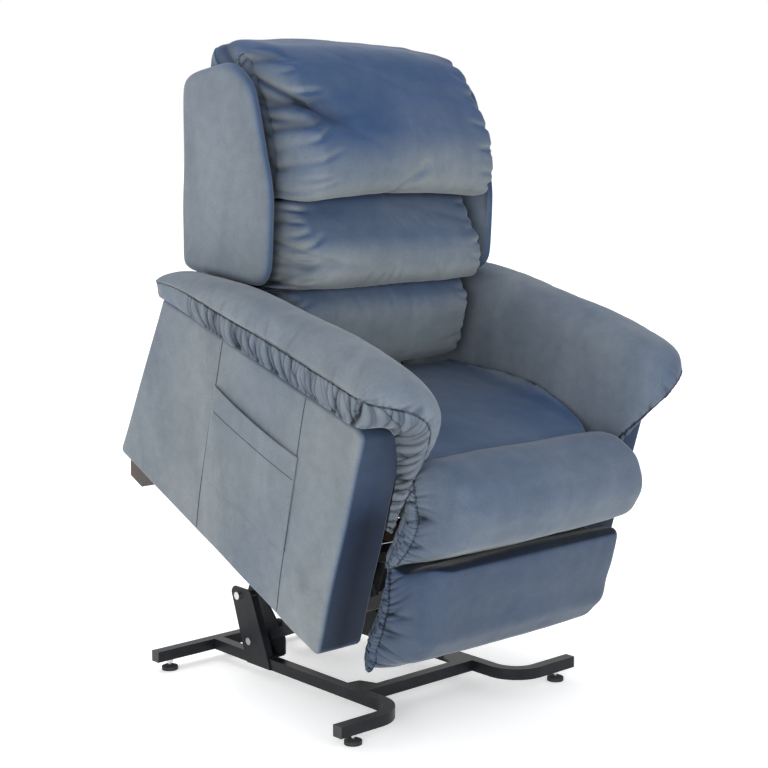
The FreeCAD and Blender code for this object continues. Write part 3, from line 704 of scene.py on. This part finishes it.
def middle_creases(p):
    """Folds that stand on the lower edge, and fine strokes under the upper one."""
    lower_edge, upper_edge = -0.026, 0.135
    total = np.zeros(p.shape[:-1])
    for x, lean, tall in ((-0.10, 0.010, 0.035), (-0.065, 0.014, 0.03), (-0.035, 0.018, 0.05),
                          (-0.005, 0.01, 0.07), (0.12, -0.02, 0.05)):
        total += crease(p, (x, lower_edge), (x + lean, lower_edge + tall), 0.005, 0.005)
    for x in (-0.02, 0.0, 0.05, 0.08, 0.11):
        total += crease(p, (x, upper_edge), (x + 0.028, upper_edge - 0.045), 0.004, 0.0012)
    return total + corner_puckers(p, 0.268, -0.01, 0.14, 7, 0.05, 0.005, 6)


def lumbar_creases(p):
    """Soft folds that hang from the upper edge."""
    upper_edge = -0.03
    total = np.zeros(p.shape[:-1])
    for x, tall in ((-0.16, 0.07), (-0.10, 0.05), (-0.05, 0.10), (0.0, 0.06), (0.06, 0.09), (0.12, 0.06)):
        total += crease(p, (x, upper_edge), (x + 0.012, upper_edge - tall), 0.008, 0.0035)
    return total + corner_puckers(p, 0.262, -0.18, -0.05, 6, 0.04, 0.004, 7)


def head_end():
    """The head pillow's end ring, cut back behind the top of the wing."""
    end = shrunken(split_outline("head_pillow", BACK), 0.66, 0.94)
    corner = ease((end[:, 1] - 0.36) / 0.10) * ease((end[:, 0] + 0.16) / 0.12)
    return end - np.outer(corner, (0.08, 0.06))


def make_back_pillows():
    # nap and up paint light into each pillow's tone: upward tops deeper, downward undersides paler
    stuffed_bar("head_pillow_cover", "head_pillow", BACK, "backrest", 3, corner=0.042,
                end=head_end(), droop=0.016, forward=0.020, top_rise=-0.008,
                puckers=(0.034, 0.0075, 0.17), extra=head_creases, crown=0.006, nap_and_light=0.47, up=0.80)
    stuffed_bar("middle_pillow_cover", "middle_pillow", BACK, "backrest", 13, corner=0.046, droop=0.006,
                puckers=(0.024, 0.006, 0.15), forward=0.006, extra=middle_creases, crown=0.008, nap_and_light=0.70,
                up=0.85)
    stuffed_bar("lumbar_pillow_cover", "lumbar_pillow", BACK, "backrest", 23, corner=0.035,
                puckers=(0.024, 0.005, 0.14), extra=lumbar_creases, crown=0.008, nap_and_light=0.58, up=0.6)


# ---------------------------------------------------------------- seat, front roll and footrest
# Ends of the roll and the footrest, as (y, z) curves: the sewn seam and the border strip's rear edge.
ROLL_SEAM = [(0.036, 0.402), (0.017, 0.376), (-0.006, 0.342), (-0.022, 0.313), (-0.025, 0.288),
             (-0.023, 0.259), (-0.013, 0.223), (-0.004, 0.197), (0.012, 0.184)]
ROLL_REAR = [(0.040, 0.400), (0.034, 0.364), (0.022, 0.330), (0.012, 0.300), (0.012, 0.270),
             (0.015, 0.240), (0.018, 0.205), (0.017, 0.184)]
FOOT_SEAM = [(0.008, 0.178), (-0.006, 0.155), (-0.020, 0.130), (-0.027, 0.100), (-0.032, 0.057),
             (-0.034, 0.014), (-0.042, -0.012), (-0.043, -0.034), (-0.037, -0.045)]
FOOT_REAR = [(0.014, 0.178), (0.006, 0.153), (0.000, 0.116), (-0.008, 0.072), (-0.006, 0.036),
             (-0.004, 0.006), (-0.014, -0.031), (-0.026, -0.045)]


def make_seat():
    # nap, side and up paint light into each cushion's tone; dim is painted shade over the roll and, more,
    # over the footrest, and top_shade is the painted shade under the roll on the footrest's top
    stuffed_bar("seat_cushion_cover", "seat_cushion", CHAIR, "chair", 33, puckers=(0.05, 0.0015, 0.03),
                crown=0.003, nap_and_light=0.58)
    stuffed_bar("seat_roll_cover", "seat_front_roll", CHAIR, "chair", 43,
                end=drawn_end(ROLL_SEAM, ROLL_REAR), corner=0.055, crown=0.004, ends=0.004,
                puckers=(0.010, 0.0034, 0.045), nap_and_light=0.46, up=0.22, side=0.0, dim=0.06)
    stuffed_bar("footrest_cover", "footrest_pad", CHAIR, "footrest", 53,
                end=drawn_end(FOOT_SEAM, FOOT_REAR), corner=0.055, crown=0.004, ends=0.004,
                puckers=(0.011, 0.0038, 0.060), nap_and_light=0.26, up=0.22, side=0.0, dim=0.36,
                top_rise=0.038, top_shade=1.0)


# ---------------------------------------------------------------- side panels, wings, rear cover
SLAB_RING = 360              # points round a slab's outline
SLAB_WAVE = 0.0012           # unevenness of its faces


def slab_profile(half, radius, bulge):
    """A slab's rings from one crowned face to the other: place along X, inset and share of full size."""
    face = [(half + bulge * (1 - k ** 2.5), radius, k) for k in np.linspace(0.02, 0.995, 60)]
    profile = [(-x, inset, k) for x, inset, k in face]
    for a in np.linspace(-pi / 2, pi / 2, 17):
        flat = (half - radius) * np.sign(a)
        profile.append((flat + radius * sin(a), radius * (1 - cos(a)), 1.0))
    return profile + face[::-1]


def rounded_slab(name, node, place, body, seed, radius=0.012, bulge=0.004, taper=0.0, soften=0, side=0.72):
    """An upholstered board: the CAD outline with soft edges and slightly crowned faces.

    taper draws the front of the face towards the chair's middle back, as on a wing's inner side.
    """
    outline = relax(side_outline(node, place, SLAB_RING), soften)
    low, high = extent(node, place)
    normal = loop_normals(relax(outline, 4))
    centre = outline.mean(0)
    middle, half = (low[0] + high[0]) / 2, (high[0] - low[0]) / 2
    rows = []
    for x, inset, share in slab_profile(half, radius, bulge):
        ring = centre + (outline - normal * inset - centre) * share
        rows.append(np.column_stack([np.full(len(ring), middle + x), ring]))
    rows = np.array(rows)
    inward = np.clip(0.5 - 0.5 * np.sign(middle) * (rows[..., 0] - middle) / half, 0, 1)
    taper_start, taper_reach = 0.15, 0.17
    ahead = ease((rows[..., 1].max() - taper_start - rows[..., 1]) / taper_reach)
    rows[..., 1] += taper * inward ** 1.6 * ahead
    rows[..., 0] += np.sign(rows[..., 0] - middle) * SLAB_WAVE * ripple(rows, 0.2, seed)
    piece = tube_mesh(name, rows, place)
    normal = np.array([v.normal for v in piece.data.vertices])
    # painted tone: rear faces paler, and by side the outer faces, as painted light; shade is painted shade
    # on a chair panel's front face
    behind = np.clip(normal[:, 1], 0, 1)
    shade = front_shade(piece, normal) if body == "chair" else 0.0
    paint_tone_and_shade(piece, 0.10 + 0.42 * behind, shade, side, 0.08)
    return finish_piece(piece, body, [node])


def front_shade(panel, normal):
    """How dark a side panel is: only its front face, and more so low down, beside the footrest."""
    facing = np.clip(1.12 * (-normal[:, 1] - np.abs(normal[:, 0])), 0, 1)
    height = CHAIR.into([v.co for v in panel.data.vertices])[:, 2]
    return facing * (0.66 + 0.34 * ease((0.40 - height) / 0.12))


PANEL_SEAMS = {"front": [(0.141, 0.012), (0.239, 0.462)], "rear": [(0.444, 0.012), (0.5225, 0.425)]}


def make_panels():
    for side, hand in (("left", 1), ("right", -1)):
        panel = rounded_slab(side + "_side_cover", side + "_side_panel", CHAIR, "chair", 61)
        low, high = extent(side + "_side_panel", CHAIR)
        face = high[0] if hand > 0 else low[0]
        for place, ends in PANEL_SEAMS.items():
            line = [(face, y, z) for y, z in evenly(ends, 90)]
            seam_line(side + "_panel_seam_" + place, panel, CHAIR.out(line), (hand, 0, 0), "chair")
        rounded_slab(side + "_wing_cover", side + "_wing", BACK, "backrest", 71, soften=50, radius=0.026,
                     bulge=0.006, taper=0.052, side=0.62)
    rounded_slab("rear_cover_panel", "back_rear_cover", BACK, "backrest", 81, radius=0.006, bulge=0.002)


# ---------------------------------------------------------------- arms
# The left arm; the right one is its mirror image. Curves along the arm are (y, z), the front ones (x, y, z).
ARM_IN, ARM_OUT = 0.286, 0.448
ARM_CREST = [(0.757, 0.462), (0.60, 0.520), (0.44, 0.558), (0.25, 0.597), (0.10, 0.615), (0.02, 0.612)]
OUTER_SEAM = [(0.757, 0.440), (0.675, 0.465), (0.535, 0.488), (0.376, 0.515), (0.22, 0.537), (0.085, 0.556)]
BAND_FOOT = [(0.757, 0.405), (0.662, 0.420), (0.534, 0.433), (0.35, 0.459), (0.213, 0.476), (0.085, 0.491)]
FRONT_SEAM = [(0.446, 0.085, 0.556), (0.443, 0.050, 0.566), (0.428, 0.024, 0.574), (0.408, 0.004, 0.577),
              (0.386, -0.012, 0.574), (0.362, -0.024, 0.560), (0.342, -0.023, 0.530),
              (0.325, -0.012, 0.492), (0.311, 0.002, 0.450), (0.301, 0.018, 0.405), (0.294, 0.032, 0.355),
              (0.290, 0.042, 0.305), (0.288, 0.048, 0.262)]
FRONT_FOOT = [(0.427, 0.095, 0.491), (0.424, 0.076, 0.497), (0.405, 0.069, 0.500), (0.385, 0.069, 0.499),
              (0.362, 0.069, 0.493), (0.342, 0.066, 0.478), (0.330, 0.062, 0.455), (0.320, 0.057, 0.425),
              (0.313, 0.052, 0.390), (0.307, 0.047, 0.345), (0.303, 0.043, 0.300), (0.300, 0.040, 0.262)]
ARM_REAR, NOSE_START = 0.752, 0.085
NOSE_LEAD = 0.014            # how far the curl of the nose leads its seam
REAR_CAP = 15                # rings that close an arm's rear end
REAR_MIDDLE = np.array([0.385, 0.385])
REAR_DEPTH = 0.012
ARM_RINGS, NOSE_RINGS, ARM_COLUMNS = 230, 46, 150
STITCH_WIDTH = 0.0016
BAND_COLUMNS = 26
BAND_FOOT_X = 0.427
INNER_FOOT = 0.25            # lower edge of the inner face, beside the seat


def height_at(curve, y):
    table = through(curve[::-1], 200)
    return np.interp(y, table[:, 0], table[:, 1])


def arm_section(y):
    """Outer seam, over the crest and down the inner side at one place along the arm."""
    seam, crest = height_at(OUTER_SEAM, y), height_at(ARM_CREST, y)
    rise = crest - seam
    points = [(ARM_OUT - 0.003, seam), (ARM_OUT + 0.003, seam + 0.22 * rise),
              (ARM_OUT - 0.012, seam + 0.68 * rise), (0.412, seam + 0.94 * rise), (0.378, crest),
              (0.338, crest - 0.007), (0.308, crest - 0.034), (0.293, crest - 0.085),
              (ARM_IN + 0.001, max(crest - 0.16, INNER_FOOT + 0.02)), (ARM_IN, INNER_FOOT)]
    return through(points, ARM_COLUMNS)


def upright_row(section, y):
    return np.column_stack([section[:, 0], np.full(len(section), y), section[:, 1]])


def arm_rows():
    """The arm's top and inner face: sections from the rear, then a nose curled down to the front seam."""
    front = through(FRONT_SEAM, ARM_COLUMNS)
    rows = []
    for share in np.linspace(0.04, 1, REAR_CAP, endpoint=False):
        section = REAR_MIDDLE + (arm_section(ARM_REAR) - REAR_MIDDLE) * share
        rows.append(upright_row(section, ARM_REAR + REAR_DEPTH * np.sqrt(1 - share ** 3)))
    for y in np.linspace(ARM_REAR, NOSE_START, ARM_RINGS):
        rows.append(upright_row(arm_section(y), y))
    start = rows[-1]
    corner = start.copy()
    corner[:, 1] = front[:, 1] - NOSE_LEAD
    for t in np.linspace(0, 1, NOSE_RINGS)[1:]:
        rows.append((1 - t) ** 2 * start + 2 * t * (1 - t) * corner + t ** 2 * front)
    return np.array(rows)


def band_rows(rows):
    """The gathered band from the seam round the top down to the side panel."""
    outer = rows[REAR_CAP:, 0]
    front = rows[-1, 1:]
    seam = np.vstack([outer, front])
    foot = np.array([(BAND_FOOT_X, y, height_at(BAND_FOOT, y)) for y in outer[:, 1]])
    corner = through(FRONT_FOOT, len(front))
    turning = foot[:, 1] < NOSE_START + 0.02
    foot[turning] = evenly(np.vstack([foot[~turning][-1], corner[0]]), turning.sum())
    foot = np.vstack([foot, corner])
    along = lengths(seam)
    bend = ease((along - along[len(outer) - 1]) / 0.06 + 0.5)
    side_bulge, front_bulge, front_spread = 0.016, 0.034, 0.004
    outward = np.zeros_like(seam)
    outward[:, 0] = side_bulge * (1 - bend) + front_spread * bend
    outward[:, 0] *= ease((ARM_REAR + 0.004 - seam[:, 1]) / 0.03)
    outward[:, 1] = -front_bulge * bend
    bulge = (seam + foot) / 2 + outward
    t = np.linspace(0, 1, BAND_COLUMNS)[None, :, None]
    return (1 - t) ** 2 * seam[:, None] + 2 * t * (1 - t) * bulge[:, None] + t ** 2 * foot[:, None]


def outward_normals(rows, row, column, axis):
    """A grid's normals, turned so that they point outwards at one place that faces along an axis."""
    normal = normals_of(rows, False)
    return normal * (1 if normal[row, column, axis] > 0 else -1)


def stitches(distance):
    """The dark line of a seam."""
    return np.exp(-(distance / STITCH_WIDTH) ** 2)


def make_arm_top(side, rows, flip, arm_tone_and_light, seed):
    normal = outward_normals(rows, 80, 60, 2)
    across = np.array([lengths(r) for r in rows])
    down = lengths(rows[:, 40])[:, None] + 0 * across
    nose = down[-1, 0] - down
    folds = gathers(down, across, 0.013, 0.0016, 0.06, seed + 1, lean=-0.35, start=0.18)
    folds += gathers(across[-1:] + 0 * across, nose, 0.010, 0.0032, 0.024, seed + 3)
    swell = 0.0012 * ripple(rows, 0.24, 5) + 0.0002 * ripple(rows, 0.05, 6)
    tuck = ease(across / 0.004 + 0.1) * ease(nose / 0.004 + 0.1)
    rows = rows + normal * ((folds + swell) * tuck)[..., None]
    top = sheet_mesh(side + "_arm_top", rows * flip, CHAIR, 0.004)
    # painted tone: the arm's base, which holds painted light, made deeper towards the nose
    nap_and_light = arm_tone_and_light - 0.16 * ease(1 - nose / 0.16)
    # painted shade in the folds, with the dark lines of the seams
    shade = -folds / 0.005 - 0.2 + 0.6 * (stitches(across) + stitches(nose))
    # the inner face: painted shade keeps its tone from going pale
    inner = ease((across - 0.09) / 0.12)
    paint_tone_and_shade(top, nap_and_light.ravel(), shade.ravel(), 0.1, 0.12, inner.ravel())
    finish_piece(top, "chair", [side + "_arm_pad", side + "_arm_bolster"])


def make_arm_band(side, band, flip, arm_tone_and_light, seed):
    normal = outward_normals(band, 60, 12, 0)
    width = np.array([lengths(r) for r in band])
    rest = width[:, -1:] - width
    along = lengths(band[:, 12])[:, None] + 0 * width
    folds = gathers(along, width, 0.0095, 0.0042, 0.2, seed + 5, lean=0.2, start=0.12)
    folds += gathers(along, rest, 0.013, 0.0025, 0.03, seed + 6, start=0.12)
    swell = 0.0008 * ripple(band, 0.05, 97)
    tuck = ease(width / 0.004) * ease(rest / 0.006)
    band = band + normal * ((folds + swell) * tuck)[..., None]
    strip = sheet_mesh(side + "_arm_band", band * flip, CHAIR, 0.003)
    # painted shade in the band's folds, with the dark seam line; its painted tone a little deeper than the
    # top's
    shade = -folds / 0.0045 - 0.15 + 0.6 * stitches(width)
    paint_tone_and_shade(strip, arm_tone_and_light - 0.18, shade.ravel(), 0.15, 0.1)
    finish_piece(strip, "chair", [])


def make_arm(side, mirror, arm_tone_and_light, seed):
    rows = arm_rows()
    flip = np.array([mirror, 1, 1])
    make_arm_top(side, rows, flip, arm_tone_and_light, seed)
    make_arm_band(side, band_rows(rows), flip, arm_tone_and_light, seed)


def make_arms():
    # the right arm's tone is set paler than the left's: painted light, on the side the light falls from
    make_arm("left", 1, 0.60, 90)
    make_arm("right", -1, 0.74, 190)


# ---------------------------------------------------------------- pocket
POCKET_TOP = [(0.209, 0.344), (0.502, 0.333)]
POCKET_BOTTOM = [(0.168, 0.142), (0.463, 0.132)]
POCKET_HEM = [(0.202, 0.295), (0.481, 0.281)]
POCKET_FACE = -0.4235        # the side panel's outer face
POCKET_ROWS, POCKET_COLUMNS = 60, 70
POCKET_STAND, POCKET_OPENING = 0.0045, 0.0062
POCKET_SAG = 0.004


def make_pocket():
    """A flat pouch sewn to the right side panel, open along its top."""
    up = np.linspace(0, 1, POCKET_ROWS)[:, None]
    across = np.linspace(0, 1, POCKET_COLUMNS)[None]
    bottom, top = evenly(POCKET_BOTTOM, POCKET_COLUMNS), evenly(POCKET_TOP, POCKET_COLUMNS)
    flat = bottom[None] * (1 - up[..., None]) + top[None] * up[..., None]
    slack = 4 * across * (1 - across)
    out = POCKET_STAND + POCKET_OPENING * ease(up / 0.9) * slack ** 0.6
    height = flat[..., 1] - POCKET_SAG * slack * ease((up - 0.6) / 0.4)
    rows = np.stack([POCKET_FACE - out, flat[..., 0], height], -1)
    pocket = sheet_mesh("side_pocket_cover", rows, CHAIR, -0.0024)
    # painted tone: its outward face paler, as painted light
    paint_tone_and_shade(pocket, 0.06, 0.0, 0.74, 0.05)
    finish_piece(pocket, "chair", ["right_side_pocket"])
    hem = [(POCKET_FACE, y, z) for y, z in evenly(POCKET_HEM, 70)]
    seam_line("pocket_hem", pocket, CHAIR.out(hem), (-1, 0, 0), "chair", 0.0007)


# ---------------------------------------------------------------- floor, lights and camera
FLOOR_HALF = 60.0
FLOOR_GLOW = 0.35            # lifts the floor to the photo's white
LIGHT_TARGET = Vector((0.0, 0.0, 0.7))
LIGHTS = [                   # name, place, width, power and colour
    ("key", (-4.4, -2.8, 1.1), 2.2, 128, (1, 1, 1)),
    ("front", (1.2, -5.0, 1.2), 2.2, 46, (0.80, 0.91, 1.0)),
    ("top", (-0.5, 1.2, 4.2), 3.0, 50, (1, 1, 1)),
]


def make_floor():
    corners = [(x * FLOOR_HALF, y * FLOOR_HALF, 0) for x, y in ((-1, -1), (1, -1), (1, 1), (-1, 1))]
    floor = make_mesh("studio_floor", corners, [(0, 1, 2, 3)], smooth=False)
    look, principled = shader("studio_floor", (0.9, 0.9, 0.9), 0.9)
    principled.inputs["Emission Color"].default_value = (1, 1, 1, 1)
    principled.inputs["Emission Strength"].default_value = FLOOR_GLOW
    floor.data.materials.append(look)


def aim(thing, place, way):
    """Puts a lamp or camera at a place, looking along a direction."""
    thing.location = place
    thing.rotation_mode = "QUATERNION"
    thing.rotation_quaternion = way.to_track_quat("-Z", "Y")
    bpy.context.scene.collection.objects.link(thing)


def make_stage():
    make_floor()
    world = bpy.data.worlds.new("studio")
    world.use_nodes = True
    background = world.node_tree.nodes["Background"]
    background.inputs["Color"].default_value = (1, 1, 1, 1)
    background.inputs["Strength"].default_value = 1.0
    bpy.context.scene.world = world
    bpy.context.scene.view_settings.view_transform = "Standard"
    for name, place, width, power, color in LIGHTS:
        light = bpy.data.lights.new(name, "AREA")
        light.size = width
        light.energy = power
        light.color = color
        aim(bpy.data.objects.new(name, light), place, LIGHT_TARGET - Vector(place))


CAMERA_TURN, CAMERA_RISE = -41.83, 8.43  # degrees round the chair and above it
CAMERA_PLACE = (-2.46843, -2.69936, 1.23946)
CAMERA_LENS = 78.72
CAMERA_SENSOR = 36.0


def make_camera():
    turn, rise = radians(CAMERA_TURN), radians(CAMERA_RISE)
    back = Vector((sin(turn) * cos(rise), -cos(turn) * cos(rise), sin(rise)))
    data = bpy.data.cameras.new("camera")
    data.lens = CAMERA_LENS
    data.sensor_width = CAMERA_SENSOR
    camera = bpy.data.objects.new("camera", data)
    aim(camera, CAMERA_PLACE, -back)
    bpy.context.scene.camera = camera


make_camera()
make_stage()
make_back_pillows()
make_seat()
make_panels()
make_arms()
make_pocket()

bpy.context.view_layer.update()
